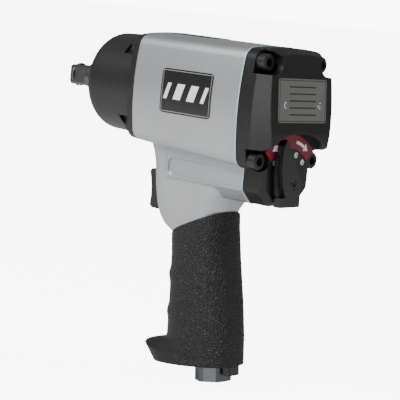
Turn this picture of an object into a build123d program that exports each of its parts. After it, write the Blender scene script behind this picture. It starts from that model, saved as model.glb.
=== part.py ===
"""Pneumatic impact wrench, half inch square drive.

Millimetres. +X points forward out of the square drive, +Y to the tool's left, +Z up.
The origin is the centre of the square drive's end face, on the drive axis.
"""

import os
from math import cos, radians, sin, tan

from build123d import *

os.makedirs("parts", exist_ok=True)

# ---------------------------------------------------------------- driving dimensions
DRIVE_SQUARE = 12.7  # across the flats of the half inch drive
DRIVE_CORNER_R = 8.0  # corners of the square are turned to this radius
SQUARE_END = -16.0
RING_X = -4.2  # friction ring that holds the socket
NOSE_FRONT = -30.0
NOSE_R = 14.0
JOURNAL_R = 9.5
BUSHING_R = 12.0
CASE_FACE = -39.2
CASE_FRONT_R = 30.8
CASE_REAR_R = 32.0
CASE_EDGE_R = 8.0
CASE_BORE_R = 27.0
CAVITY_FRONT = -51.0
FLANGE_FRONT = -79.0
CASE_REAR = -84.5
HOUSING_FRONT = -85.0
HOUSING_REAR = -170.0
COVER_FRONT = -170.6
COVER_CREASE = -181.0  # where the cover's straight walls turn into bevels
COVER_REAR = -193.0
DIAL_FLOOR = -185.7  # floor of the recess that the lever sweeps
DIAL_ARCH_R = 42.8
DIAL_ARCH_Z = -58.0
MOTOR_BORE_R = 27.0
MOTOR_FRONT = -93.0
LINER_FRONT = -103.0
LINER_REAR = -147.0
LINER_BORE_R = 20.2
LINER_OFFSET = 2.65  # the bore sits this much above the rotor
END_PLATE_REAR = -157.0
ROTOR_R = 17.5
VANES = 6
CAGE_R = 25.8
PIN_Y = 20.5
PIN_R = 2.5
DOG_R = 19.5
DOG_BORE_R = 15.8
VALVE_Z = -45.8  # axis of the reverse valve and its lever
VALVE_R = 8.0
VALVE_BUSH_R = 10.0
VALVE_FRONT = -118.0
LOBE_HALF_WIDTH = 21.7
LOBE_BOTTOM = -59.5
RAKE = 7.0  # lean of the handle, its foot to the rear
FOOT_X = -137.4  # handle axis where it meets the foot
FOOT_Z = -165.0
INLET_X = -143.8  # inlet axis near the foot
INLET_Z = -168.0
INLET_HEX = 21.0
INLET_BODY_R = 9.6
NPT_DRILL_R = 5.6  # quarter inch pipe thread, drilled size
PASSAGE_R = 8.0
UPPER_PASSAGE_R = 6.5
SEAT_AT = 70.0  # top of the throttle seat, measured up the handle from the inlet
GRIP_SKIN = 3.0
TRIGGER_Z = -64.0
TRIGGER_HALF_WIDTH = 7.3
TRIGGER_FLOOR = -103.0
ROD_R = 3.0
FRONT_SCREWS = (23.6, 24.3)
FRONT_SEAT = -81.5
REAR_SCREWS_Y = 24.7
REAR_SCREWS_TOP = 24.4
REAR_SCREWS_BOTTOM = -32.7
REAR_SEAT = -178.0
LEVER_REST = 21.0  # lever's lean towards +Y at rest, in degrees
DETENT_R = 18.0
DETENTS = (-46.0, -21.0, 21.0, 46.0)
FACE_LEAN = 5.9  # the cover's rear face looks this much upwards
FACE_X = -191.0  # the leaning face where it crosses FACE_Z
FACE_Z = 3.6
RUNNING = 0.03  # radial running clearance
SLIP = 0.1  # assembly clearance between still parts

rake_down = Vector(-sin(radians(RAKE)), 0, -cos(radians(RAKE)))


def save(builder, name):
    """Labels a finished piece and writes it."""
    builder.part.label = name
    export_step(builder.part, f"parts/{name}.step")


def across(x):
    """Plane across the drive axis: local x is +Y, local y is +Z, normal is +X."""
    return Plane.YZ.offset(x)


def on_handle(x, z, up=True):
    """Plane square to the raked handle, through (x, 0, z)."""
    normal = -rake_down if up else rake_down
    return Plane(origin=(x, 0, z), x_dir=(0, 1, 0), z_dir=normal)


def along_handle(x, z, distance):
    """The point that lies a distance down the raked handle from (x, z)."""
    return x + rake_down.X * distance, z + rake_down.Z * distance


def bulged_outline(half_width, top, bottom, corner_y, corner_top, corner_bottom, radius):
    """Rounded square with bowed sides."""
    middle = (corner_top + corner_bottom) / 2
    with BuildSketch() as outline:
        with BuildLine():
            ThreePointArc((-corner_y, corner_top), (0, top), (corner_y, corner_top))
            ThreePointArc((corner_y, corner_top), (half_width, middle), (corner_y, corner_bottom))
            ThreePointArc((corner_y, corner_bottom), (0, bottom), (-corner_y, corner_bottom))
            ThreePointArc((-corner_y, corner_bottom), (-half_width, middle), (-corner_y, corner_top))
        make_face()
        fillet(outline.vertices(), radius)
    return outline.sketch_local


def front_outline(grow=0.0):
    return bulged_outline(31.8 + grow, 34.5 + grow, -34.5 - grow, 28.4 + grow, 31.4 + grow, -31.4 - grow, 8)


def rear_outline(grow=0.0):
    return bulged_outline(33.0 + grow, 33.4 + grow, -39.0 - grow, 29.2 + grow, 31.2 + grow, -37.6 - grow, 8)


def lobe_outline(grow=0.0, top=-28.0):
    """Lower lobe that holds the reverse valve, with its bottom corners cut at 45 degrees."""
    w, cut = LOBE_HALF_WIDTH + grow, 8.5
    bottom = LOBE_BOTTOM - grow
    with BuildSketch() as outline:
        with BuildLine():
            Polyline((-w, top), (w, top), (w, bottom + cut), (w - cut, bottom))
            Polyline((w - cut, bottom), (-w + cut, bottom), (-w, bottom + cut), (-w, top))
        make_face()
        fillet(outline.vertices().filter_by(lambda v: v.Y < top - 1), 4)
    return outline.sketch_local


def cover_outline(grow=0.0):
    """Outline shared by the rear of the housing, the gasket and the cover."""
    return rear_outline(grow) + lobe_outline(grow)


# z, front, back, half width, corner radius
UPPER_HANDLE = [
    (-27, -85.2, -165, 20.5, 14),
    (-35, -87.0, -164, 20.5, 14),
    (-42, -90.2, -162, 20.2, 13),
    (-52, -91.4, -157, 19.5, 13),
    (-60, -91.6, -151.0, 18.4, 13),
    (-68, -91.9, -145.6, 16.8, 13),
    (-76, -94.0, -144.2, 15.9, 13),
    (-84, -101.5, -144.6, 15.4, 13),
    (-92, -108.4, -146.0, 15.4, 14),
]
GRIP_OUTSIDE = [
    (-62, -103.5, -145.0, 18.6, 15),
    (-80, -105.8, -147.2, 18.6, 15),
    (-100, -108.2, -150.8, 18.6, 15),
    (-125, -109.4, -156.2, 18.8, 15),
    (-145, -110.0, -159.6, 19.0, 15),
    (-176, -110.5, -162.0, 19.3, 15),
]


def loft_handle(rows, inset=0.0):
    """Smooth column through horizontal sections, inset all round."""
    with BuildPart() as column:
        for z, front, back, half_width, radius in rows:
            with BuildSketch(Plane.XY.offset(z)):
                with Locations(((front + back) / 2, 0)):
                    RectangleRounded(front - back - 2 * inset, 2 * (half_width - inset), radius - inset)
        loft()
    return column.part


def foot_cutter(lift=0.0):
    """Everything below the raked foot of the handle."""
    x, z = along_handle(FOOT_X, FOOT_Z, -lift)
    with BuildPart() as cutter:
        with BuildSketch(on_handle(x, z, up=False)):
            Rectangle(120, 200)
        extrude(amount=60)
    return cutter.part


def inlet_plane(distance):
    """Plane across the inlet passage, a distance up the handle."""
    return on_handle(*along_handle(INLET_X, INLET_Z, -distance))


def inlet_bar(radius, start, end):
    """Round bar on the inlet passage's axis, between two distances up the handle."""
    with BuildPart() as bar:
        with BuildSketch(inlet_plane(start)):
            Circle(radius)
        extrude(amount=end - start)
    return bar.part


def exhaust_bar(thickness, width, z_low, z_high):
    """Flat bar that follows the exhaust passage between two heights."""
    with BuildPart() as bar:
        for z in (z_low, z_high):
            x = -155.5 + (z - INLET_Z) * 0.15
            with BuildSketch(Plane.XY.offset(z)):
                with Locations((x, 0)):
                    RectangleRounded(thickness, width, thickness / 2 - 0.05)
        loft()
    return bar.part


def coil(radius, wire, height, pitch, plane):
    """Coil spring standing on a plane."""
    with BuildPart() as spring:
        with BuildLine() as path:
            Helix(pitch, height, radius, center=plane.origin, direction=plane.z_dir)
        with BuildSketch(Plane(origin=path.line @ 0, z_dir=path.line % 0)):
            Circle(wire)
        sweep(is_frenet=True)
    return spring.part


def ring(outer, inner, start, end, z=0.0):
    """Plain ring or bush around an axis along X."""
    with BuildPart() as sleeve:
        with BuildSketch(across(start)):
            with Locations((0, z)):
                Circle(outer)
                if inner:
                    Circle(inner, mode=Mode.SUBTRACT)
        extrude(amount=end - start)
    return sleeve.part


def cap_screws(places, seat, direction, shank_r, length, head_r, head_length):
    """Socket cap screws along X; direction is +1 when the heads point forward."""
    with BuildPart() as screws:
        with BuildSketch(across(seat)):
            with Locations(*places):
                Circle(head_r)
        extrude(amount=direction * head_length)
        chamfer(screws.edges().group_by(Axis.X)[-1 if direction > 0 else 0], 0.5)
        with BuildSketch(across(seat + direction * head_length)):
            with Locations(*places):
                RegularPolygon(0.56 * head_r, 6)
        extrude(amount=-direction * 0.6 * head_length, mode=Mode.SUBTRACT)
        with BuildSketch(across(seat)):
            with Locations(*places):
                Circle(shank_r)
        extrude(amount=-direction * length)
    return screws.part


front_screw_places = [(y, z) for y in (-FRONT_SCREWS[0], FRONT_SCREWS[0]) for z in (-FRONT_SCREWS[1], FRONT_SCREWS[1])]
rear_screw_places = [(y, z) for y in (-REAR_SCREWS_Y, REAR_SCREWS_Y) for z in (REAR_SCREWS_BOTTOM, REAR_SCREWS_TOP)]

# ---------------------------------------------------------------- motor housing
core = loft_handle(GRIP_OUTSIDE, GRIP_SKIN)
upper = loft_handle(UPPER_HANDLE)

with BuildPart() as motor_housing:
    with BuildSketch(across(HOUSING_FRONT)):
        add(front_outline())
    with BuildSketch(across(HOUSING_REAR)):
        add(rear_outline())
    loft()
    with BuildSketch(across(HOUSING_REAR)):
        add(lobe_outline())
    extrude(amount=62)
    add(upper)
    add(core)
    add(foot_cutter(lift=2.0), mode=Mode.SUBTRACT)
    with BuildSketch(across(HOUSING_FRONT)):
        Rectangle(80, 200)
    extrude(amount=20, mode=Mode.SUBTRACT)
    # motor bore from the rear, web, and the pilot for the hammer case
    with BuildSketch(across(HOUSING_REAR)):
        Circle(MOTOR_BORE_R)
    extrude(amount=MOTOR_FRONT - HOUSING_REAR, mode=Mode.SUBTRACT)
    with BuildSketch(across(HOUSING_REAR)):
        Circle(16)
    extrude(amount=HOUSING_FRONT - HOUSING_REAR, mode=Mode.SUBTRACT)
    with BuildSketch(across(HOUSING_FRONT)):
        Circle(CASE_BORE_R)
    extrude(amount=-1.2, mode=Mode.SUBTRACT)
    # reverse valve bore
    add(ring(VALVE_BUSH_R, 0, HOUSING_REAR, VALVE_FRONT, VALVE_Z), mode=Mode.SUBTRACT)
    # screw holes at both ends
    with BuildSketch(across(HOUSING_FRONT)):
        with Locations(*front_screw_places):
            Circle(2.5)
    extrude(amount=-14, mode=Mode.SUBTRACT)
    with BuildSketch(across(HOUSING_REAR)):
        with Locations(*rear_screw_places):
            Circle(3.0)
    extrude(amount=16, mode=Mode.SUBTRACT)
    # recessed panel along both sides of the valve lobe
    for side in (-1, 1):
        with BuildSketch(Plane.XZ.offset(-side * (LOBE_HALF_WIDTH - 1.2))):
            with Locations((-144, -45.0)):
                RectangleRounded(68, 10.5, 4)
        extrude(amount=-side * 6, mode=Mode.SUBTRACT)
    # trigger pocket and rod bore
    with BuildSketch(across(TRIGGER_FLOOR)):
        with Locations((0, TRIGGER_Z + 0.6)):
            RectangleRounded(2 * TRIGGER_HALF_WIDTH + 0.8, 25.4, 0.5)
    extrude(amount=30, mode=Mode.SUBTRACT)
    add(ring(4.5, 0, -112, TRIGGER_FLOOR, TRIGGER_Z), mode=Mode.SUBTRACT)
    add(ring(ROD_R + SLIP, 0, -131, TRIGGER_FLOOR, TRIGGER_Z), mode=Mode.SUBTRACT)
    # inlet passage up the handle into the valve bore
    add(inlet_bar(INLET_BODY_R, -6, 19), mode=Mode.SUBTRACT)
    add(inlet_bar(PASSAGE_R, 18, SEAT_AT), mode=Mode.SUBTRACT)
    add(inlet_bar(UPPER_PASSAGE_R, SEAT_AT - 1, 113), mode=Mode.SUBTRACT)
    # exhaust passage behind it
    add(exhaust_bar(2.2, 12, -172, -56), mode=Mode.SUBTRACT)
    # ports between the valve bore and the two sides of the motor
    for port_x in (-128, -140):
        with BuildSketch(Plane.XY.offset(VALVE_Z + 5)):
            with Locations((port_x, 0)):
                Rectangle(4, 12)
        extrude(amount=20, mode=Mode.SUBTRACT)
save(motor_housing, "motor_housing")

# ---------------------------------------------------------------- rubber grip
with BuildPart() as grip:
    add(loft_handle(GRIP_OUTSIDE))
    # beak under the little finger
    with BuildSketch(Plane.XZ.offset(-20)) as beak:
        with BuildLine():
            Polyline((-118, -147), (-110.4, -147), (-106.5, -153.5), (-101.5, -157.6))
            Polyline((-101.5, -157.6), (-89.4, -160.6), (-89.2, -161.8), (-92.6, -167.0))
            Polyline((-92.6, -167.0), (-99, -175), (-118, -175), (-118, -147))
        make_face()
    extrude(amount=40)
    with BuildSketch(Plane.XY.offset(-180)):
        with Locations((-127, 0)):
            RectangleRounded(77, 37.6, 14)
    extrude(amount=150, mode=Mode.INTERSECT)
    # two finger ridges across the front
    for ridge_z, ridge_x in ((-112.5, -107.6), (-135.7, -108.4)):
        with BuildSketch(Plane.XY.offset(ridge_z - 1.2)):
            with Locations((ridge_x - 18, 0)):
                RectangleRounded(36, 35.5, 15)
        extrude(amount=2.4)
    add(loft_handle(GRIP_OUTSIDE, GRIP_SKIN - 0.05), mode=Mode.SUBTRACT)
    # sloping upper edge
    with BuildSketch(Plane.XZ.offset(-30)):
        with BuildLine():
            Polyline((-90, -96), (-108, -88.6), (-120, -82.0), (-134, -74.4), (-145, -69.2), (-160, -66.5))
            Polyline((-160, -66.5), (-160, -30), (-90, -30), (-90, -96))
        make_face()
    extrude(amount=60, mode=Mode.SUBTRACT)
    add(foot_cutter(), mode=Mode.SUBTRACT)
    # the housing's own metal where it is wider than the core, and the way out below
    add(upper, mode=Mode.SUBTRACT)
    add(inlet_bar(INLET_HEX / 3 ** 0.5 + 0.5, -10, 8), mode=Mode.SUBTRACT)
    add(exhaust_bar(2.2, 12, -172, -150), mode=Mode.SUBTRACT)
save(grip, "grip")

# ---------------------------------------------------------------- hammer case
with BuildPart() as hammer_case:
    with BuildSketch(Plane.XZ):
        with BuildLine():
            Polyline((NOSE_FRONT, BUSHING_R), (NOSE_FRONT, NOSE_R - 1), (NOSE_FRONT - 1, NOSE_R))
            Polyline((NOSE_FRONT - 1, NOSE_R), (CASE_FACE, NOSE_R + 1), (CASE_FACE, CASE_FRONT_R - CASE_EDGE_R))
            RadiusArc(
                (CASE_FACE, CASE_FRONT_R - CASE_EDGE_R),
                (CASE_FACE - CASE_EDGE_R, CASE_FRONT_R),
                -CASE_EDGE_R,
            )
            Polyline((CASE_FACE - CASE_EDGE_R, CASE_FRONT_R), (CASE_REAR, CASE_REAR_R), (CASE_REAR, CASE_BORE_R))
            Polyline((CASE_REAR, CASE_BORE_R), (CAVITY_FRONT - 3, CASE_BORE_R), (CAVITY_FRONT, CASE_BORE_R - 3))
            Polyline((CAVITY_FRONT, CASE_BORE_R - 3), (CAVITY_FRONT, BUSHING_R), (NOSE_FRONT, BUSHING_R))
        make_face()
    revolve(axis=Axis.X)
    with BuildSketch(across(CASE_REAR)):
        add(front_outline())
    with BuildSketch(across(FLANGE_FRONT - 1)):
        add(front_outline(-0.4))
    loft()
    add(ring(CASE_BORE_R, 0, CASE_REAR, FLANGE_FRONT), mode=Mode.SUBTRACT)
    # pockets for the screw heads, run out along the case
    with BuildSketch(across(FRONT_SEAT)):
        with Locations(*front_screw_places):
            Circle(5.2)
    extrude(amount=14, mode=Mode.SUBTRACT)
    with BuildSketch(across(CASE_REAR)):
        with Locations(*front_screw_places):
            Circle(2.5 + SLIP)
    extrude(amount=6, mode=Mode.SUBTRACT)
save(hammer_case, "hammer_case")

with BuildPart() as hammer_case_gasket:
    with BuildSketch(across(HOUSING_FRONT)):
        add(front_outline(-0.3))
        Circle(CASE_BORE_R + 0.3, mode=Mode.SUBTRACT)
        with Locations(*front_screw_places):
            Circle(2.7, mode=Mode.SUBTRACT)
    extrude(amount=CASE_REAR - HOUSING_FRONT)
save(hammer_case_gasket, "hammer_case_gasket")

with BuildPart() as hammer_case_screws:
    add(cap_screws(front_screw_places, FRONT_SEAT, 1, 2.45, 15, 4.25, 5))
save(hammer_case_screws, "hammer_case_screws")

with BuildPart() as anvil_bushing:
    add(ring(BUSHING_R, JOURNAL_R + RUNNING, CAVITY_FRONT, NOSE_FRONT - 0.5))
save(anvil_bushing, "anvil_bushing")

# ---------------------------------------------------------------- anvil
with BuildPart() as anvil:
    with BuildSketch(across(SQUARE_END)):
        Rectangle(DRIVE_SQUARE, DRIVE_SQUARE)
        Circle(DRIVE_CORNER_R, mode=Mode.INTERSECT)
    extrude(amount=-SQUARE_END)
    chamfer(anvil.edges().group_by(Axis.X)[-1], 1.2)
    add(ring(8.0, 0, NOSE_FRONT, SQUARE_END))
    add(ring(JOURNAL_R, 0, -52, NOSE_FRONT))
    add(ring(13.0, 0, -53.5, -51.4))
    add(ring(9.0, 0, -79.6, -53))
    # two jaws, one for each hammer
    for start, angle in ((-66.6, 0), (-78.6, 180)):
        with BuildSketch(across(start)):
            with PolarLocations(0, 1, angle + 90):
                with Locations((11, 0)):
                    Rectangle(4.6, 8)
            Circle(13, mode=Mode.INTERSECT)
        extrude(amount=8.6)
    with BuildSketch(Plane.XZ):
        with Locations((RING_X, 7.0)):
            Circle(0.85)
    revolve(axis=Axis.X, mode=Mode.SUBTRACT)
save(anvil, "anvil")

with BuildPart() as friction_ring:
    with BuildSketch(Plane.XZ):
        with Locations((RING_X, 6.95)):
            Circle(0.75)
    revolve(axis=Axis.X)
    with BuildSketch(across(RING_X - 2)):
        with Locations((0, -6.95)):
            Rectangle(1.6, 3)
    extrude(amount=4, mode=Mode.SUBTRACT)
save(friction_ring, "friction_ring")

# ---------------------------------------------------------------- twin hammer mechanism
with BuildPart() as hammer_cage:
    add(ring(CAGE_R, 13.6, -56.6, -54.2))
    add(ring(CAGE_R, 10.0, -83.6, -80.2))
    add(ring(12.0, 0, -86.2, -80.2))
    with BuildSketch(across(-83.6)):
        for angle in (90, 270):
            with PolarLocations(0, 1, angle):
                with Locations((24.0, 0)):
                    Rectangle(6, 17)
        Circle(CAGE_R, mode=Mode.INTERSECT)
        Circle(23.2, mode=Mode.SUBTRACT)
    extrude(amount=27.5)
    with BuildSketch(across(-90)):
        RegularPolygon(6.05, 6)
    extrude(amount=9.8, mode=Mode.SUBTRACT)
    with BuildSketch(across(-90)):
        with Locations((PIN_Y, 0), (-PIN_Y, 0)):
            Circle(PIN_R)
    extrude(amount=40, mode=Mode.SUBTRACT)
save(hammer_cage, "hammer_cage")

with BuildPart() as hammer_pins:
    with BuildSketch(across(-83.4)):
        with Locations((PIN_Y, 0), (-PIN_Y, 0)):
            Circle(PIN_R)
    extrude(amount=29)
save(hammer_pins, "hammer_pins")


def hammer_dog(front, side):
    """Swinging hammer: a ring hung on one cage pin, with a striking tooth opposite."""
    with BuildPart() as dog:
        with BuildSketch(across(front - 10.6)):
            Circle(DOG_R)
            with Locations((side * PIN_Y, 0)):
                Circle(4.9)
            with Locations((side * (PIN_Y - 3), 0)):
                Rectangle(6, 9.8)
            with Locations((-side * 23.4, 0)):
                Rectangle(12, 30, mode=Mode.SUBTRACT)
            Circle(DOG_BORE_R, mode=Mode.SUBTRACT)
            with Locations((-side * 13.6, 0)):
                Rectangle(5.6, 7)
            with Locations((side * PIN_Y, 0)):
                Circle(PIN_R + RUNNING, mode=Mode.SUBTRACT)
        extrude(amount=10.6)
    return dog.part


with BuildPart() as front_hammer:
    add(hammer_dog(-57.2, 1))
save(front_hammer, "front_hammer")

with BuildPart() as rear_hammer:
    add(hammer_dog(-69.0, -1))
save(rear_hammer, "rear_hammer")

# ---------------------------------------------------------------- air motor
with BuildPart() as front_end_plate:
    add(ring(MOTOR_BORE_R, 8.0, LINER_FRONT, MOTOR_FRONT))
save(front_end_plate, "front_end_plate")

with BuildPart() as cylinder_liner:
    with BuildSketch(across(LINER_REAR)):
        Circle(MOTOR_BORE_R)
        with Locations((0, LINER_OFFSET)):
            Circle(LINER_BORE_R, mode=Mode.SUBTRACT)
        with Locations((0, -24.6)):
            Circle(1.5, mode=Mode.SUBTRACT)
    extrude(amount=LINER_FRONT - LINER_REAR)
    for port_x in (-128, -140):
        with BuildSketch(Plane.XY.offset(-30)):
            with Locations((port_x, 9)):
                SlotOverall(9, 3, rotation=90)
        extrude(amount=15, mode=Mode.SUBTRACT)
save(cylinder_liner, "cylinder_liner")

with BuildPart() as cylinder_dowel:
    add(ring(1.48, 0, -152, LINER_FRONT - 0.1, -24.6))
save(cylinder_dowel, "cylinder_dowel")

with BuildPart() as rear_end_plate:
    add(ring(MOTOR_BORE_R, 8.0, END_PLATE_REAR, LINER_REAR))
    add(ring(13.0, 0, END_PLATE_REAR, END_PLATE_REAR + 7), mode=Mode.SUBTRACT)
    with BuildSketch(across(-152.2)):
        with Locations((0, -24.6)):
            Circle(1.5)
    extrude(amount=10, mode=Mode.SUBTRACT)
save(rear_end_plate, "rear_end_plate")

with BuildPart() as rotor:
    add(ring(ROTOR_R, 0, LINER_REAR + 0.3, LINER_FRONT - 0.3))
    with BuildSketch(across(LINER_REAR)):
        with PolarLocations(0, VANES, 90):
            with Locations((14, 0)):
                Rectangle(12, 2.1)
    extrude(amount=60, mode=Mode.SUBTRACT)
    add(ring(7.0, 0, LINER_FRONT - 1, -86.5))
    with BuildSketch(across(-87)):
        RegularPolygon(6.0, 6)
    extrude(amount=6.6)
    add(ring(6.0, 0, -161, LINER_REAR + 1))
save(rotor, "rotor")

with BuildPart() as rotor_vanes:
    with BuildSketch(across(LINER_REAR + 0.35)):
        with PolarLocations(0, VANES, 90):
            with Locations((13.2, 0)):
                Rectangle(8.4, 2.0)
    extrude(amount=LINER_FRONT - LINER_REAR - 0.7)
save(rotor_vanes, "rotor_vanes")


def bearing_set(name, rear, width, bore_r, outer_r, ball_r, count):
    """Ball bearing in three parts: outer race, balls and inner race."""
    pitch_r = (bore_r + outer_r) / 2
    middle = rear + width / 2
    with BuildPart() as outer_race:
        add(ring(outer_r, pitch_r + 0.5 * ball_r, rear, rear + width))
        with BuildSketch(Plane.XZ):
            with Locations((middle, pitch_r)):
                Circle(ball_r)
        revolve(axis=Axis.X, mode=Mode.SUBTRACT)
    save(outer_race, name + "_outer_race")
    with BuildPart() as balls:
        for number in range(count):
            angle = radians(360 * number / count)
            with Locations((middle, pitch_r * cos(angle), pitch_r * sin(angle))):
                Sphere(ball_r)
    save(balls, name + "_balls")
    with BuildPart() as inner_race:
        add(ring(pitch_r - 0.5 * ball_r, bore_r, rear, rear + width))
        with BuildSketch(Plane.XZ):
            with Locations((middle, pitch_r)):
                Circle(ball_r + RUNNING)
        revolve(axis=Axis.X, mode=Mode.SUBTRACT)
    save(inner_race, name + "_inner_race")


bearing_set("front_bearing", -93.0, 6.5, 7.0, 16.0, 2.6, 9)
bearing_set("rear_bearing", END_PLATE_REAR, 6.5, 6.0, 13.0, 2.0, 9)

# ---------------------------------------------------------------- rear cover
face_plane = Plane(
    origin=(FACE_X, 0, FACE_Z),
    x_dir=(0, -1, 0),
    z_dir=(-cos(radians(FACE_LEAN)), 0, sin(radians(FACE_LEAN))),
)
with BuildPart() as rear_gasket:
    with BuildSketch(across(COVER_FRONT)):
        add(cover_outline(0.15))
        Circle(MOTOR_BORE_R, mode=Mode.SUBTRACT)
        with Locations((0, VALVE_Z)):
            Circle(VALVE_BUSH_R - 1, mode=Mode.SUBTRACT)
        with Locations(*rear_screw_places):
            Circle(3.1, mode=Mode.SUBTRACT)
    extrude(amount=HOUSING_REAR - COVER_FRONT)
save(rear_gasket, "rear_gasket")

with BuildPart() as rear_cover:
    with BuildSketch(across(COVER_FRONT)):
        add(rear_outline())
    extrude(amount=COVER_CREASE - COVER_FRONT)
    with BuildSketch(across(COVER_CREASE)):
        add(rear_outline())
    with BuildSketch(across(COVER_REAR)):
        add(rear_outline(-5.0))
    loft()
    with BuildSketch(across(COVER_FRONT)):
        add(lobe_outline(-0.2))
    extrude(amount=-182.5 - COVER_FRONT)
    with BuildSketch(across(-182.5)):
        add(lobe_outline(-0.2))
    with BuildSketch(across(DIAL_FLOOR - 0.4)):
        add(lobe_outline(-3.0))
    loft()
    # leaning rear face
    with BuildSketch(Plane.XZ.offset(-50)):
        with BuildLine():
            Polyline(
                (FACE_X - 60 * tan(radians(FACE_LEAN)), FACE_Z - 60),
                (FACE_X + 60 * tan(radians(FACE_LEAN)), FACE_Z + 60),
                (-260, FACE_Z + 60),
                (-260, FACE_Z - 60),
                close=True,
            )
        make_face()
    extrude(amount=100, mode=Mode.SUBTRACT)
    # arched recess over the lever
    with BuildSketch(across(DIAL_FLOOR)):
        with Locations((0, DIAL_ARCH_Z)):
            Circle(DIAL_ARCH_R)
    extrude(amount=-20, mode=Mode.SUBTRACT)
    # corner pockets for the screws
    with BuildSketch(across(REAR_SEAT)):
        for y, z in rear_screw_places:
            with Locations((y, z)):
                Circle(6.8)
            with Locations((y + (7 if y > 0 else -7), z)):
                Rectangle(14, 13.6)
            with Locations((y + (5 if y > 0 else -5), z + (5 if z > 0 else -5))):
                Rectangle(13, 13)
    extrude(amount=-30, mode=Mode.SUBTRACT)
    with BuildSketch(across(COVER_FRONT)):
        with Locations(*rear_screw_places):
            Circle(3.1)
        with Locations((0, VALVE_Z)):
            Circle(5.1)
    extrude(amount=-30, mode=Mode.SUBTRACT)
    with BuildSketch(face_plane):
        with Locations((16, -2.6), (-16, -2.6)):
            Circle(1.2)
    extrude(amount=-4, mode=Mode.SUBTRACT)
    # hollow behind the motor
    add(ring(22, 0, -180, COVER_FRONT), mode=Mode.SUBTRACT)
    # detent dimples
    for angle in DETENTS:
        y, z = DETENT_R * sin(radians(angle)), VALVE_Z + DETENT_R * cos(radians(angle))
        add(ring(1.6, 0, DIAL_FLOOR - 1, DIAL_FLOOR + 1).moved(Location((0, y, z))), mode=Mode.SUBTRACT)
save(rear_cover, "rear_cover")

with BuildPart() as rear_cover_screws:
    add(cap_screws(rear_screw_places, REAR_SEAT, -1, 2.95, 22, 4.9, 6))
save(rear_cover_screws, "rear_cover_screws")

with BuildPart() as nameplate:
    with BuildSketch(face_plane):
        RectangleRounded(44.6, 25.6, 1.2)
        with Locations((16, -2.6), (-16, -2.6)):
            Circle(1.2, mode=Mode.SUBTRACT)
    extrude(amount=0.5)
save(nameplate, "nameplate")

with BuildPart() as nameplate_rivets:
    with BuildSketch(face_plane.offset(-4)):
        with Locations((16, -2.6), (-16, -2.6)):
            Circle(1.2)
    extrude(amount=4.6)
    with BuildSketch(face_plane.offset(0.5)):
        with Locations((16, -2.6), (-16, -2.6)):
            Circle(2.1)
    extrude(amount=0.8)
    chamfer(nameplate_rivets.edges().group_by(Axis.X)[0], 0.3)
save(nameplate_rivets, "nameplate_rivets")

with BuildPart() as direction_label:
    with BuildSketch(across(DIAL_FLOOR)):
        with BuildLine():
            Polyline((0, VALVE_Z), (-48, VALVE_Z + 40), (48, VALVE_Z + 40), (0, VALVE_Z))
        make_face()
        with Locations((0, VALVE_Z)):
            Circle(29.2, mode=Mode.INTERSECT)
            Circle(21, mode=Mode.SUBTRACT)
    extrude(amount=-0.3)
save(direction_label, "direction_label")

# ---------------------------------------------------------------- reverse valve and lever
with BuildPart() as reverse_valve_bushing:
    add(ring(VALVE_BUSH_R, VALVE_R + RUNNING, HOUSING_REAR, VALVE_FRONT, VALVE_Z))
    for port_x in (-128, -140):
        with BuildSketch(Plane.XY.offset(VALVE_Z)):
            with Locations((port_x, 0)):
                SlotOverall(10, 4, rotation=90)
        extrude(amount=16, mode=Mode.SUBTRACT)
    with BuildSketch(Plane.XY.offset(VALVE_Z)):
        with Locations((-131, 0)):
            Circle(4)
        with Locations((-142, 0)):
            Circle(2.5)
    extrude(amount=-16, mode=Mode.SUBTRACT)
save(reverse_valve_bushing, "reverse_valve_bushing")

with BuildPart() as reverse_valve:
    add(ring(VALVE_R, 0, HOUSING_REAR + 0.4, VALVE_FRONT - 0.4, VALVE_Z))
    add(ring(5.0, 0, -186.4, HOUSING_REAR + 1, VALVE_Z))
    with BuildSketch(across(-189.5)):
        with Locations((0, VALVE_Z)):
            Rectangle(6.4, 6.4)
    extrude(amount=4, mode=Mode.ADD)
    for x, turn in ((-129.5, 20), (-143, -20)):
        with BuildSketch(across(x - 3.5)):
            with Locations((0, VALVE_Z)):
                with PolarLocations(0, 1, turn):
                    Rectangle(3.2, 17)
        extrude(amount=7, mode=Mode.SUBTRACT)
    add(ring(2.0, 0, -191, -176, VALVE_Z), mode=Mode.SUBTRACT)
save(reverse_valve, "reverse_valve")

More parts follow.
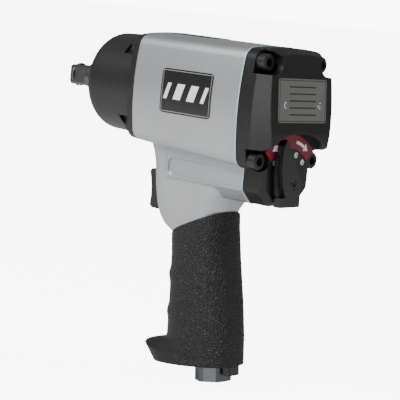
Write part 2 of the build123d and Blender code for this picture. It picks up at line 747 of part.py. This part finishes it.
# outlines around the pivot at rest: y, z
LEVER_FACE = [
    (10.1, 26.7),
    (4.7, 19.7),
    (-0.4, 12.0),
    (-5.1, 3.0),
    (-6.8, -6.5),
    (-7.2, -13.2),
    (11.2, -13.2),
    (11.2, -7.6),
    (6.6, -7.4),
    (9.5, -1.3),
    (11.8, 8.1),
    (12.5, 16.3),
    (12.1, 23.2),
]
LEVER_FLANGE = [(12, 20), (14.6, 15), (13.9, 10.4), (14.4, 5), (13.2, 0.8), (12.6, -4.4), (9.6, -9), (2, -9), (2, 20)]
LEVER_STEP = -188.9
LEVER_BACK = -191.3
with BuildPart() as direction_lever:
    with BuildSketch(across(-186.5)):
        with BuildLine():
            Polyline(*[(y, VALVE_Z + z) for y, z in LEVER_FACE], close=True)
        make_face()
        with Locations((0, VALVE_Z)):
            Circle(7.4)
    extrude(amount=LEVER_BACK + 186.5)
    # scalloped flange for the thumb, on the left
    with BuildSketch(across(-186.5)) as flange:
        with BuildLine():
            Polyline(*[(y, VALVE_Z + z) for y, z in LEVER_FLANGE], close=True)
        make_face()
        fillet(flange.vertices().filter_by(lambda v: v.X > 12.8), 0.9)
    extrude(amount=LEVER_STEP + 186.5)
    with BuildSketch(across(-189.6)):
        with Locations((0, VALVE_Z)):
            Rectangle(6.5, 6.5)
    extrude(amount=4, mode=Mode.SUBTRACT)
    add(ring(3.1, 0, -192, -189.6, VALVE_Z), mode=Mode.SUBTRACT)
    y, z = DETENT_R * sin(radians(LEVER_REST)), VALVE_Z + DETENT_R * cos(radians(LEVER_REST))
    add(ring(1.55, 0, -190.4, -186.5, 0.0).moved(Location((0, y, z))), mode=Mode.SUBTRACT)
save(direction_lever, "direction_lever")

with BuildPart() as lever_screw:
    add(ring(3.0, 0, -191.5, -189.8, VALVE_Z))
    chamfer(lever_screw.edges().group_by(Axis.X)[0], 0.4)
    add(ring(1.95, 0, -189.9, -177, VALVE_Z))
    for turn in (0, 90):
        with BuildSketch(across(-192.5)):
            with Locations((0, VALVE_Z)):
                Rectangle(0.8, 3.6, rotation=turn)
        extrude(amount=2, mode=Mode.SUBTRACT)
save(lever_screw, "lever_screw")

with BuildPart() as detent_ball:
    with Locations((DIAL_FLOOR - 1.48, y, z)):
        Sphere(1.45)
save(detent_ball, "detent_ball")

with BuildPart() as detent_spring:
    add(coil(1.1, 0.15, 1.2, 0.5, Plane(origin=(-190.1, y, z), z_dir=(1, 0, 0))))
save(detent_spring, "detent_spring")

# ---------------------------------------------------------------- trigger
with BuildPart() as trigger:
    with BuildSketch(Plane.XZ.offset(-TRIGGER_HALF_WIDTH)):
        with BuildLine():
            ThreePointArc((-82.0, -52.0), (-84.6, -63.0), (-84.4, -74.0))
            Polyline((-84.4, -74.0), (-86.4, -75.6), (-96.5, -75.6), (-96.5, -51.2), (-83.0, -51.2))
            Line((-83.0, -51.2), (-82.0, -52.0))
        make_face()
    extrude(amount=2 * TRIGGER_HALF_WIDTH)
    chamfer(trigger.edges().group_by(Axis.Y)[0].sort_by(Axis.X)[-1], 1.2)
    chamfer(trigger.edges().group_by(Axis.Y)[-1].sort_by(Axis.X)[-1], 1.2)
    add(ring(5.2, 0, -97, -91.5, TRIGGER_Z), mode=Mode.SUBTRACT)
    add(ring(ROD_R, 0, -92, -88, TRIGGER_Z), mode=Mode.SUBTRACT)
save(trigger, "trigger")

with BuildPart() as trigger_rod:
    add(ring(ROD_R, 0, -128.7, -88.05, TRIGGER_Z))
    chamfer(trigger_rod.edges().group_by(Axis.X)[0], 0.8)
save(trigger_rod, "trigger_rod")

with BuildPart() as trigger_bushing:
    add(ring(4.5, ROD_R + RUNNING, -112, TRIGGER_FLOOR, TRIGGER_Z))
save(trigger_bushing, "trigger_bushing")

with BuildPart() as trigger_spring:
    add(coil(4.3, 0.5, 10.2, 2.04, Plane(origin=(-102.4, 0, TRIGGER_Z), z_dir=(1, 0, 0))))
save(trigger_spring, "trigger_spring")

# ---------------------------------------------------------------- throttle valve
with BuildPart() as throttle_seat:
    add(inlet_bar(PASSAGE_R - 0.02, SEAT_AT - 3, SEAT_AT - 0.05))
    add(inlet_bar(4.2, 0, 100), mode=Mode.SUBTRACT)
save(throttle_seat, "throttle_seat")

with BuildPart() as throttle_valve:
    add(inlet_bar(6.2, SEAT_AT - 6.3, SEAT_AT - 3.3))
    add(inlet_bar(1.6, SEAT_AT - 4, 107.5))
save(throttle_valve, "throttle_valve")

with BuildPart() as throttle_spring:
    add(coil(4.6, 0.5, 38.6, 6.43, inlet_plane(24.4)))
save(throttle_spring, "throttle_spring")

# ---------------------------------------------------------------- air inlet and exhaust
with BuildPart() as inlet_bushing:
    with BuildSketch(inlet_plane(-6)):
        RegularPolygon(INLET_HEX / 2, 6, major_radius=False)
    extrude(amount=9.3)
    with BuildSketch(inlet_plane(-6.1)):
        Circle(INLET_HEX / 2 + 0.7)
    extrude(amount=15, mode=Mode.INTERSECT)
    add(inlet_bar(INLET_BODY_R - 0.02, 3.2, 18.5))
    add(inlet_bar(NPT_DRILL_R, -7, 20), mode=Mode.SUBTRACT)
    add(inlet_bar(7.2, 14, 20), mode=Mode.SUBTRACT)
    with BuildSketch(inlet_plane(10)):
        Circle(11)
        Circle(7.9, mode=Mode.SUBTRACT)
    extrude(amount=2.2, mode=Mode.SUBTRACT)
save(inlet_bushing, "inlet_bushing")

with BuildPart() as inlet_oring:
    with BuildSketch(inlet_plane(10.3)):
        Circle(INLET_BODY_R - 0.02)
        Circle(7.95, mode=Mode.SUBTRACT)
    extrude(amount=1.6)
    fillet(inlet_oring.edges(), 0.6)
save(inlet_oring, "inlet_oring")

with BuildPart() as inlet_screen:
    with BuildSketch(inlet_plane(14.1)):
        Circle(7.15)
        with GridLocations(2.4, 2.4, 5, 5):
            Circle(0.9, mode=Mode.SUBTRACT)
    extrude(amount=0.8)
    with BuildSketch(inlet_plane(14.1)):
        Circle(7.15)
        Circle(6.35, mode=Mode.SUBTRACT)
    extrude(amount=4)
save(inlet_screen, "inlet_screen")

with BuildPart() as exhaust_deflector:
    with BuildSketch(on_handle(*along_handle(FOOT_X, FOOT_Z, 0.05), up=False)):
        with Locations((0, -20.4)):
            RectangleRounded(11, 5.6, 1.6)
    extrude(amount=5.4)
save(exhaust_deflector, "exhaust_deflector")

with BuildPart() as exhaust_muffler:
    add(exhaust_bar(2.0, 11.6, -161.5, -146))
save(exhaust_muffler, "exhaust_muffler")


# ---------------------------------------------------------------- labels
def label_on_housing(name, window, thickness=0.3):
    """Thin label that follows the barrel's surface inside a window."""
    with BuildPart() as label:
        for grow, mode in ((thickness, Mode.ADD), (0.0, Mode.SUBTRACT)):
            with BuildSketch(across(HOUSING_FRONT), mode=Mode.PRIVATE) as front:
                add(front_outline(grow))
            with BuildSketch(across(HOUSING_REAR), mode=Mode.PRIVATE) as rear:
                add(rear_outline(grow))
            loft([front.sketch, rear.sketch], mode=mode)
        add(window, mode=Mode.INTERSECT)
    save(label, name)


with BuildPart() as side_window:
    with BuildSketch(Plane.XZ.offset(-45)):
        with Locations((-129, 0.7)):
            RectangleRounded(41, 26.6, 2.5)
    extrude(amount=90)
label_on_housing("side_labels", side_window.part)

with BuildPart() as top_window:
    with BuildSketch(Plane.XY.offset(20)):
        with Locations((-108, 0)):
            RectangleRounded(34, 16, 1.5)
    extrude(amount=30)
label_on_housing("top_label", top_window.part)
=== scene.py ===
from math import radians, tan

import bpy
import numpy as np
from mathutils import Matrix, Vector


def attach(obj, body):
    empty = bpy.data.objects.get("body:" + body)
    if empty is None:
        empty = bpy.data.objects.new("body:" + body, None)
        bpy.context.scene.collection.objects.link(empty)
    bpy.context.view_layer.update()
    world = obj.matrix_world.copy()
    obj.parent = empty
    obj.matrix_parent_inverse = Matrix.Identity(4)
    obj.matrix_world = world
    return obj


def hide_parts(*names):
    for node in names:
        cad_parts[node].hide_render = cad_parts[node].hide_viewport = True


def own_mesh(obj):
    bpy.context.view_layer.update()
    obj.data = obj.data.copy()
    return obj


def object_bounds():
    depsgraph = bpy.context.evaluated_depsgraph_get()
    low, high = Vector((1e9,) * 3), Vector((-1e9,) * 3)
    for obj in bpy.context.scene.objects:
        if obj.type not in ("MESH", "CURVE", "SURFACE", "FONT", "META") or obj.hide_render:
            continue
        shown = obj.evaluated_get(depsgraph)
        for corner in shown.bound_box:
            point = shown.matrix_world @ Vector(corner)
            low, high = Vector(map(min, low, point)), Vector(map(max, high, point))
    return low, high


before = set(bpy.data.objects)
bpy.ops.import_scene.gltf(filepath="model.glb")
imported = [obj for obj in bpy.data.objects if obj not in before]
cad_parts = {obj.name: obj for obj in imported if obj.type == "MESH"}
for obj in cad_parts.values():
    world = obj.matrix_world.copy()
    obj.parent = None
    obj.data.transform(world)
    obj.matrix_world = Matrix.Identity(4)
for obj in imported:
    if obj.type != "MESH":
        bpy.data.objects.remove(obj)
cad_low, cad_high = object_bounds()
MM = 0.001

# ------------------------------------------------------------------ camera
CAMERA_PLACE = Vector((-0.72026, 0.68353, 0.05329))
CAMERA_RIGHT = Vector((-0.73945, -0.66634, 0.09592))
CAMERA_UP = Vector((0.15801, -0.03328, 0.98688))
CAMERA_BACK = Vector((-0.65441, 0.74490, 0.12990))

camera_data = bpy.data.cameras.new("camera")
camera_data.lens = 133.76
camera_data.sensor_width = 36
camera = bpy.data.objects.new("camera", camera_data)
camera.matrix_world = Matrix.Translation(CAMERA_PLACE) @ Matrix(
    (CAMERA_RIGHT, CAMERA_UP, CAMERA_BACK)
).transposed().to_4x4()
bpy.context.scene.collection.objects.link(camera)
bpy.context.scene.camera = camera


# ------------------------------------------------------------------ shader helpers
class Value:
    """An output socket; an expression on values adds its Math nodes."""

    def __init__(self, shader, socket):
        self.shader, self.socket = shader, socket

    def math(self, operation, *others):
        return self.shader.node("Math", {"operation": operation}, [self, *others])

    def __add__(self, other):
        return self.math("ADD", other)

    def __sub__(self, other):
        return self.math("SUBTRACT", other)

    def __rsub__(self, other):
        return self.shader.node("Math", {"operation": "SUBTRACT"}, [other, self])

    def __mul__(self, other):
        return self.math("MULTIPLY", other)

    def __truediv__(self, other):
        return self.math("DIVIDE", other)

    def __lt__(self, other):
        return self.math("LESS_THAN", other)

    def __gt__(self, other):
        return self.math("GREATER_THAN", other)

    def __abs__(self):
        return self.math("ABSOLUTE")

    __radd__, __rmul__ = __add__, __mul__


class Shader:
    """A material's node tree, with a method for each kind of node used often."""

    def __init__(self, name):
        self.material = bpy.data.materials.new(name)
        self.material.use_nodes = True
        self.tree = self.material.node_tree
        self.surface = self.tree.nodes["Principled BSDF"]
        self.place = self.node("TexCoord", {}, [], "Object")

    def node(self, kind, settings, values, output=0):
        """Adds a node, sets its settings, then its sockets by position or by name."""
        made = self.tree.nodes.new("ShaderNode" + kind)
        for key, setting in settings.items():
            setattr(made, key, setting)
        pairs = values.items() if isinstance(values, dict) else enumerate(values)
        for key, value in pairs:
            self.put(made.inputs[key], value)
        return Value(self, made.outputs[output])

    def put(self, socket, value):
        if isinstance(value, Value):
            self.tree.links.new(value.socket, socket)
        else:
            socket.default_value = value

    def set(self, **values):
        """Inputs of the surface; a second call on the same input takes the first one's place."""
        for key, value in values.items():
            self.put(self.surface.inputs[key.replace("_", " ")], value)

    def noise(self, scale, detail=3.0):
        values = {"Vector": self.place, "Scale": scale, "Detail": detail, "Roughness": 0.55}
        return self.node("TexNoise", {}, values, "Fac")

    def cells(self, scale, feature):
        values = {"Vector": self.place, "Scale": scale}
        return self.node("TexVoronoi", {"feature": feature}, values, "Distance")

    def mix(self, factor, first, second):
        """Colour mix; colours are (r, g, b) or values."""
        made = self.tree.nodes.new("ShaderNodeMix")
        made.data_type = "RGBA"
        for key, value in ((0, factor), (6, first), (7, second)):
            self.put(made.inputs[key], (*value, 1) if isinstance(value, tuple) else value)
        return Value(self, made.outputs[2])

    def ramp(self, value, low, high):
        """0 below low, 1 above high, smooth between."""
        settings = {"interpolation_type": "SMOOTHSTEP"}
        values = {"Value": value, "From Min": low, "From Max": high}
        return self.node("MapRange", settings, values)

    def axes(self):
        """The x, y and z of a point on the piece, in metres."""
        return [self.node("SeparateXYZ", {}, [self.place], axis) for axis in "XYZ"]

    def relief(self, height, depth, edge=0.0):
        """Bump from a height, over edges softened to a radius."""
        values = {"Height": height, "Distance": depth, "Strength": 1.0}
        if edge:
            values["Normal"] = self.node("Bevel", {"samples": 4}, [edge], "Normal")
        self.set(Normal=self.node("Bump", {}, values, "Normal"))


def plain(name, colour, metallic, roughness, grain=900):
    """Finish with a faint mottle in colour and a fine grain in roughness and relief."""
    s = Shader(name)
    mottle, fine = s.noise(45), s.noise(grain)
    dark = tuple(0.86 * c for c in colour)
    s.set(
        Base_Color=s.mix(mottle, dark, colour),
        Metallic=metallic,
        Roughness=fine * 0.12 + (roughness - 0.06),
    )
    s.relief(fine, 0.00002, 0.0003)
    return s.material


# ------------------------------------------------------------------ finishes
# the lever's pivot and the white dots round it, in metres and degrees from upright
PIVOT_Z = -45.8 * MM
DOT_RADIUS, DOT_SIZE = 18 * MM, 1.75 * MM
DOT_ANGLES = (-46, -21, 21, 46)
RECESS_X = -0.1875  # the dots are painted on faces ahead of this
REAR_BLACK = (0.004, 0.004, 0.0045)
HAMMER_BLACK = (0.008, 0.008, 0.009)


def cast_aluminium():
    """Bead-blasted casting: pale grey and clouded, faintly pebbled, with softened edges."""
    s = Shader("cast aluminium")
    cloud, pebble, fine = s.noise(28, 2), s.noise(420, 2), s.noise(1500, 2)
    s.set(
        Base_Color=s.mix(cloud, (0.40, 0.41, 0.425), (0.50, 0.51, 0.52)),
        Metallic=0.85,
        Roughness=0.34 + fine * 0.16,
    )
    s.relief(pebble * 0.6 + fine * 0.4, 0.00006, 0.0009)
    return s.material


def black_casting(name, base, grain):
    """Powder-coated casting with a fine pebble."""
    s = Shader(name)
    pebble, cloud = s.cells(grain, "SMOOTH_F1"), s.noise(30)
    lift = tuple(1.35 * c for c in base)
    s.set(
        Base_Color=s.mix(cloud, base, lift),
        Roughness=0.36 + cloud * 0.12,
        Specular_IOR_Level=0.42,
    )
    s.relief(pebble, 0.00006, 0.0008)
    return s


def rear_cover_finish():
    """Black pebbled casting, with white dots painted where the lever stops."""
    s = black_casting("rear cover black", REAR_BLACK, 1300)
    x, y, z = s.axes()
    dots = 0.0
    for angle in DOT_ANGLES:
        dy = y - DOT_RADIUS * np.sin(radians(angle))
        dz = z - (PIVOT_Z + DOT_RADIUS * np.cos(radians(angle)))
        spot = ((dy * dy + dz * dz).math("SQRT") < DOT_SIZE) * (x > RECESS_X)
        dots = spot + dots
    s.set(Base_Color=s.mix(dots, REAR_BLACK, (0.85, 0.85, 0.83)))
    return s.material


def grip_rubber():
    """Moulded rubber: leather grain round the back and sides, smooth towards the front."""
    s = Shader("grip rubber")
    x, y, z = s.axes()
    pebble = s.ramp(s.cells(540.0, "DISTANCE_TO_EDGE"), 0.02, 0.34)
    fine = s.noise(1800, 2)
    back = s.ramp(x + z * -0.12, -0.103, -0.117)
    s.set(
        Base_Color=s.mix(fine, (0.006, 0.006, 0.007), (0.010, 0.010, 0.0115)),
        Roughness=0.46 + fine * 0.14,
        Specular_IOR_Level=0.34,
    )
    s.relief(pebble * (back * 0.94 + 0.06) + fine * 0.03, 0.00045)
    return s.material


def direction_label_finish():
    """Deep red label with two white arrows bent round the pivot."""
    arrow_r, shaft_half, head_half, head_taper = 0.0252, 0.0009, 0.0026, 0.016
    shaft_start, shaft_end = radians(12), radians(33)
    head_start, head_end = radians(31), radians(41)
    s = Shader("direction label")
    x, y, z = s.axes()
    up = z - PIVOT_Z
    off_middle = abs((y * y + up * up).math("SQRT") - arrow_r)
    turn = abs((y / up).math("ARCTANGENT"))
    shaft = (off_middle < shaft_half) * (turn > shaft_start) * (turn < shaft_end)
    narrowing = (turn - head_start) * head_taper
    head = (off_middle + narrowing < head_half) * (turn > head_start) * (turn < head_end)
    mark = (shaft + head).math("MINIMUM", 1.0)
    fine = s.noise(1500)
    s.set(
        Base_Color=s.mix(mark, (0.20, 0.006, 0.018), (0.85, 0.85, 0.84)),
        Roughness=0.34 + fine * 0.1,
    )
    s.relief(fine, 0.00001)
    return s.material


def side_label_finish():
    """Glossy black label with a thin dim border and a plain mark of slanted bars."""
    middle_x, middle_z = -0.129, 0.0007
    bars_per_metre, slant, border_strength = 90, 0.35, 0.25
    s = Shader("side label")
    x, y, z = s.axes()
    across, up = x - middle_x, z - middle_z
    edge = ((abs(across) > 0.0192) + (abs(up) > 0.0120)).math("MINIMUM", 1.0)
    outside = ((abs(across) > 0.0197) + (abs(up) > 0.0125)).math("MINIMUM", 1.0)
    slanted = across + up * slant
    stripes = abs((slanted * bars_per_metre).math("FRACT") - 0.5) < 0.27
    bars = stripes * (abs(slanted) < 0.0165) * (abs(up) < 0.0048)
    mark = (bars + edge * (1 - outside) * border_strength).math("MINIMUM", 1.0)
    fine = s.noise(1300)
    s.set(
        Base_Color=s.mix(mark, (0.010, 0.010, 0.011), (0.72, 0.72, 0.72)),
        Roughness=0.22 + fine * 0.08,
    )
    s.relief(fine, 0.00001)
    return s.material


def top_label_finish():
    """Black label with small orange blocks."""
    middle_x, blocks_per_metre = -0.108, 160
    s = Shader("top label")
    x, y, z = s.axes()
    across = x - middle_x
    stripes = abs((across * blocks_per_metre).math("FRACT") - 0.5) < 0.30
    blocks = stripes * (abs(y) < 0.0032) * (abs(across) < 0.0125)
    fine = s.noise(1300)
    s.set(
        Base_Color=s.mix(blocks, (0.012, 0.012, 0.013), (0.75, 0.25, 0.03)),
        Roughness=0.3 + fine * 0.08,
    )
    s.relief(fine, 0.00001)
    return s.material


def nameplate_finish():
    """Etched grey plate: thin dark rules in place of any lettering, inside a border."""
    middle_z, rules_per_metre = 0.0036, 250
    rivet_y, rivet_up, rivet_clear = 0.016, -0.0026, 0.0032
    border_y, border_up, border_half = 0.0212, 0.0117, 0.00022
    s = Shader("nameplate")
    x, y, z = s.axes()
    up = z - middle_z
    stripes = abs((up * rules_per_metre + 0.5).math("FRACT") - 0.5) < 0.11
    near_rivet = (abs(abs(y) - rivet_y) < rivet_clear) * (abs(up - rivet_up) < rivet_clear)
    rules = stripes * (abs(up) < 0.0105) * ((abs(y) < 0.0125) * (1 - near_rivet))
    border = (abs(abs(y) - border_y) < border_half) + (abs(abs(up) - border_up) < border_half)
    ink = (rules + border).math("MINIMUM", 1.0)
    fine, brushed = s.noise(1200), s.noise(60)
    s.set(
        Base_Color=s.mix(ink, (0.20, 0.197, 0.185), (0.05, 0.05, 0.047)),
        Metallic=0.55,
        Roughness=0.36 + brushed * 0.14,
    )
    s.relief(fine * 0.3 - ink * 0.7, 0.00004)
    return s.material


finishes = {
    "motor_housing": cast_aluminium(),
    "hammer_case": black_casting("hammer case black", HAMMER_BLACK, 1500).material,
    "rear_cover": rear_cover_finish(),
    "direction_label": direction_label_finish(),
    "side_labels": side_label_finish(),
    "top_label": top_label_finish(),
    "nameplate": nameplate_finish(),
}
# colour, metallic, roughness and grain, then the nodes that share the finish
shared = [
    (
        plain("black plastic", (0.008, 0.008, 0.009), 0.0, 0.36, 1400),
        "direction_lever trigger exhaust_deflector",
    ),
    (
        plain("forged steel", (0.12, 0.12, 0.125), 0.9, 0.34),
        "anvil friction_ring hammer_cage hammer_pins front_hammer rear_hammer rotor"
        " cylinder_dowel throttle_valve reverse_valve trigger_rod",
    ),
    (
        plain("bright steel", (0.60, 0.60, 0.61), 1.0, 0.2),
        "front_bearing_outer_race front_bearing_balls front_bearing_inner_race"
        " rear_bearing_outer_race rear_bearing_balls rear_bearing_inner_race nameplate_rivets"
        " detent_ball detent_spring trigger_spring throttle_spring inlet_screen",
    ),
    (
        plain("black screws", (0.03, 0.03, 0.032), 0.5, 0.34),
        "hammer_case_screws rear_cover_screws lever_screw",
    ),
    (plain("plated steel", (0.125, 0.13, 0.14), 0.95, 0.34), "inlet_bushing"),
    (
        plain("cast iron", (0.16, 0.16, 0.16), 0.7, 0.5, 600),
        "front_end_plate rear_end_plate cylinder_liner",
    ),
    (
        plain("bronze", (0.52, 0.36, 0.17), 1.0, 0.34),
        "anvil_bushing reverse_valve_bushing trigger_bushing",
    ),
    (plain("vane composite", (0.24, 0.12, 0.06), 0.0, 0.55), "rotor_vanes"),
    (plain("gasket blue", (0.40, 0.58, 0.72), 0.0, 0.6), "rear_gasket"),
    (plain("gasket dark", (0.10, 0.11, 0.12), 0.0, 0.6), "hammer_case_gasket"),
    (plain("seal rubber", (0.02, 0.02, 0.02), 0.0, 0.5), "inlet_oring throttle_seat"),
    (plain("felt", (0.55, 0.53, 0.46), 0.0, 0.9), "exhaust_muffler"),
]
for material, names in shared:
    for name in names.split():
        finishes[name] = material
for name, material in finishes.items():
    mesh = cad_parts[name].data
    mesh.materials.clear()
    mesh.materials.append(material)


# ------------------------------------------------------------------ surfaces
def wrapped_mesh(name, points, material, capped=False):
    """Mesh from rows x columns x 3 points in mm, closed round each row.

    The last row joins the first or, if capped, the first and the last row are filled flat.
    """
    rows, columns = points.shape[:2]
    i, j = np.meshgrid(np.arange(rows - capped), np.arange(columns), indexing="ij")
    below, beside = (i + 1) % rows, (j + 1) % columns
    corners = [(i, j), (below, j), (below, beside), (i, beside)]
    faces = np.stack([row * columns + column for row, column in corners], -1)
    faces = faces.reshape(-1, 4).tolist()
    if capped:
        last = (rows - 1) * columns
        faces += [list(range(columns)), list(range(last + columns - 1, last - 1, -1))]
    mesh = bpy.data.meshes.new(name)
    mesh.from_pydata((points.reshape(-1, 3) * MM).tolist(), [], faces)
    mesh.polygons.foreach_set("use_smooth", np.ones(len(faces), bool))
    mesh.materials.append(material)
    piece = bpy.data.objects.new(name, mesh)
    bpy.context.scene.collection.objects.link(piece)
    return piece


def rise(value, low, high):
    """Smooth step: 0 below low, 1 above high, 3t^2 - 2t^3 between."""
    t = np.clip((value - low) / (high - low), 0, 1)
    return t * t * (3 - 2 * t)


# lengths of the grip and the spring, in mm
# height, front, back and half width of the grip's outside
GRIP_ROWS = np.array(
    [
        (-60, -103.8, -145.2, 18.0),
        (-80, -105.8, -147.2, 18.2),
        (-100, -108.2, -150.8, 18.3),
        (-125, -109.4, -156.2, 18.5),
        (-145, -110.0, -159.6, 18.6),
        (-176, -110.5, -162.6, 18.7),
    ]
)
SECTION_POWER = 2 / 2.6
TOP_Z, TOP_SLOPE, TOP_DIP = -78.3, 9.0, 4.5
RAKE = tan(radians(7))
FOOT_X, FOOT_Z = -137.4, -165.0
FIRST_FOOT_Z, FITTING_STEPS = -167, 6
SKIN = 2.9
EDGE_R = 1.6
# depths below the drive axis where the lip begins and is full, its reach, and how it ends
LIP_START, LIP_FULL, LIP_POWER, LIP_REACH, LIP_UNDERCUT = 148, 159.2, 2.2, 18.4, 1.05
# depth and further fall of the ledge, the height of its step, and how far it stands out
LEDGE_DEPTH, LEDGE_FALL, LEDGE_STEP, LEDGE_OUT = 158.4, 1.5, 0.8, 2.2
# height and half width of the finger ridges, and how far they stand out
RIDGES, RIDGE_OUT = ((-112.6, 3.4), (-135.6, 3.6)), 1.5
# share of the way down where the upper edge's rounding ends and the foot's begins
CROWN_SHARE, FOOT_SHARE = 0.004, 0.993

TRIGGER_Z = -64.0
SPRING_R, WIRE_R, SPRING_TURNS = 4.3, 0.5, 5
SPRING_FOOT, SPRING_LENGTH = -102.4, 10.2


def grip_surface(angles, depth, inset, lip):
    """Points of the grip at each angle round it and each share of the way down.

    A section is a superellipse of power 2.6. Front, back and half width follow the height, two
    finger ridges swell the front, and near the foot the front reaches out into a lip. The upper
    edge slopes down to the front and the foot is square to the raked handle. The height depends
    on how far out the foot is, so the two are found in turn until they settle.
    """
    c, s = np.cos(angles), np.sin(angles)
    side = np.sign(s) * np.abs(s) ** SECTION_POWER
    along = np.sign(c) * np.abs(c) ** SECTION_POWER
    top = TOP_Z - TOP_SLOPE * along - TOP_DIP * np.maximum(along, 0) ** 4
    z = top + (FIRST_FOOT_Z - top) * depth
    for _ in range(FITTING_STEPS):
        front, back, half = (np.interp(-z, -GRIP_ROWS[:, 0], GRIP_ROWS[:, k]) for k in (1, 2, 3))
        reach = rise(-z, LIP_START, LIP_FULL) ** LIP_POWER * LIP_REACH
        reach = reach - np.maximum(-z - LIP_FULL, 0) * LIP_UNDERCUT
        brink = LEDGE_DEPTH + LEDGE_FALL * (1 - along)
        ledge = rise(-z, brink, brink + LEDGE_STEP) * rise(along, -0.6, 0.2) * LEDGE_OUT
        ridges = sum(RIDGE_OUT * np.exp(-(((z - at) / wide) ** 2)) for at, wide in RIDGES)
        out = lip * np.maximum(reach, 0) + lip * ridges
        ahead = np.where(c > 0, out * np.maximum(c, 0) ** 0.5, 0)
        middle, deep = (front + back) / 2, (front - back) / 2 - inset
        x = middle + along * deep + ahead
        foot = FOOT_Z - (x - FOOT_X) * RAKE
        z = top + (foot - top) * depth
    return np.stack([x, side * (half + lip * ledge - inset), z], -1)


def grip_skin():
    """Rubber sleeve: down the outside, round the foot, up the inside, over the upper edge."""
    angles = np.linspace(0, 2 * np.pi, 160, endpoint=False)[None, :]
    down = np.linspace(CROWN_SHARE, FOOT_SHARE, 150)[:, None]
    quarter = np.linspace(0, np.pi / 2, 6)[:, None]
    back = quarter[::-1]
    inward = np.linspace(EDGE_R, SKIN, 4)[:, None]
    fading = np.linspace(1, 0, 4)[:, None]
    outside = grip_surface(angles, down, 0.0, 1.0)
    foot_depth = FOOT_SHARE + 0.007 * np.sin(quarter)
    foot = grip_surface(angles, foot_depth, EDGE_R * (1 - np.cos(quarter)), 1.0)
    foot_in = grip_surface(angles, np.full((4, 1), 1.0), inward, fading)
    inside = grip_surface(angles, down[::-6], SKIN, 0.0)
    crown_depth = CROWN_SHARE * (1 - np.sin(back)) * 0.9
    crown = grip_surface(angles, crown_depth, EDGE_R * (1 - np.cos(back)), 1.0)
    rows = np.concatenate([outside, foot[1:], foot_in[1:], inside, crown[:-1]])
    return wrapped_mesh("grip_skin", rows, grip_rubber())


def spring_coil():
    """Wire of round section wound along +X: its centre line turns evenly as it climbs evenly."""
    turn = np.linspace(0, 2 * np.pi * SPRING_TURNS, 24 * SPRING_TURNS + 1)[:, None]
    round_wire = np.linspace(0, 2 * np.pi, 10, endpoint=False)[None, :]
    reach = SPRING_R + WIRE_R * np.cos(round_wire)
    x = SPRING_FOOT + SPRING_LENGTH * turn / turn[-1] + WIRE_R * np.sin(round_wire)
    return wrapped_mesh(
        "trigger_return_coil",
        np.stack([x, reach * np.cos(turn), TRIGGER_Z + reach * np.sin(turn)], -1),
        finishes["trigger_spring"],
        capped=True,
    )


spring = spring_coil()
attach(spring, "housing_body")
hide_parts("trigger_spring")
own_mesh(spring)

grip = grip_skin()
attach(grip, "housing_body")
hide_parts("grip")


# ------------------------------------------------------------------ floor and light
FLOOR_SIZE, FLOOR_DROP = 60, 0.0005
TOOL_MIDDLE = Vector((-0.1, 0, -0.06))


def stage_floor():
    """Pale floor under the tool that looks brighter than it lights."""
    place = (0, 0, cad_low.z - FLOOR_DROP)
    bpy.ops.mesh.primitive_plane_add(size=FLOOR_SIZE, location=place)
    floor = bpy.context.object
    floor.name = "floor"
    s = Shader("floor")
    seen = s.node("LightPath", {}, [], "Is Camera Ray")
    glow = s.mix(seen, (0.016, 0.016, 0.016), (1.0, 1.0, 1.0))
    s.set(
        Base_Color=(0.8, 0.8, 0.8, 1),
        Roughness=0.9,
        Emission_Color=glow,
        Emission_Strength=7.5,
    )
    floor.data.materials.append(s.material)


def soft_light(name, place, size, power):
    """Square area light aimed at the middle of the tool."""
    data = bpy.data.lights.new(name, "AREA")
    data.size, data.energy = size, power
    light = bpy.data.objects.new(name, data)
    light.location = place
    light.rotation_mode = "QUATERNION"
    light.rotation_quaternion = (Vector(place) - TOOL_MIDDLE).to_track_quat("Z", "Y")
    bpy.context.scene.collection.objects.link(light)


def white_surround(lighting, seen):
    """White surround that lights the tool softly and looks brighter than it lights."""
    world = bpy.data.worlds.new("surround")
    world.use_nodes = True
    nodes, links = world.node_tree.nodes, world.node_tree.links
    path = nodes.new("ShaderNodeLightPath")
    strength = nodes.new("ShaderNodeMix")
    strength.inputs[2].default_value, strength.inputs[3].default_value = lighting, seen
    links.new(path.outputs["Is Camera Ray"], strength.inputs[0])
    links.new(strength.outputs[0], nodes["Background"].inputs["Strength"])
    nodes["Background"].inputs["Color"].default_value = (1, 1, 1, 1)
    bpy.context.scene.world = world


stage_floor()
soft_light("key", (0.15, 1.1, 1.0), 0.5, 30)
soft_light("left fill", (-0.5, 1.4, 0.1), 0.5, 6)
soft_light("back rim", (-0.9, -0.6, 0.9), 0.5, 6)
white_surround(0.24, 9.0)
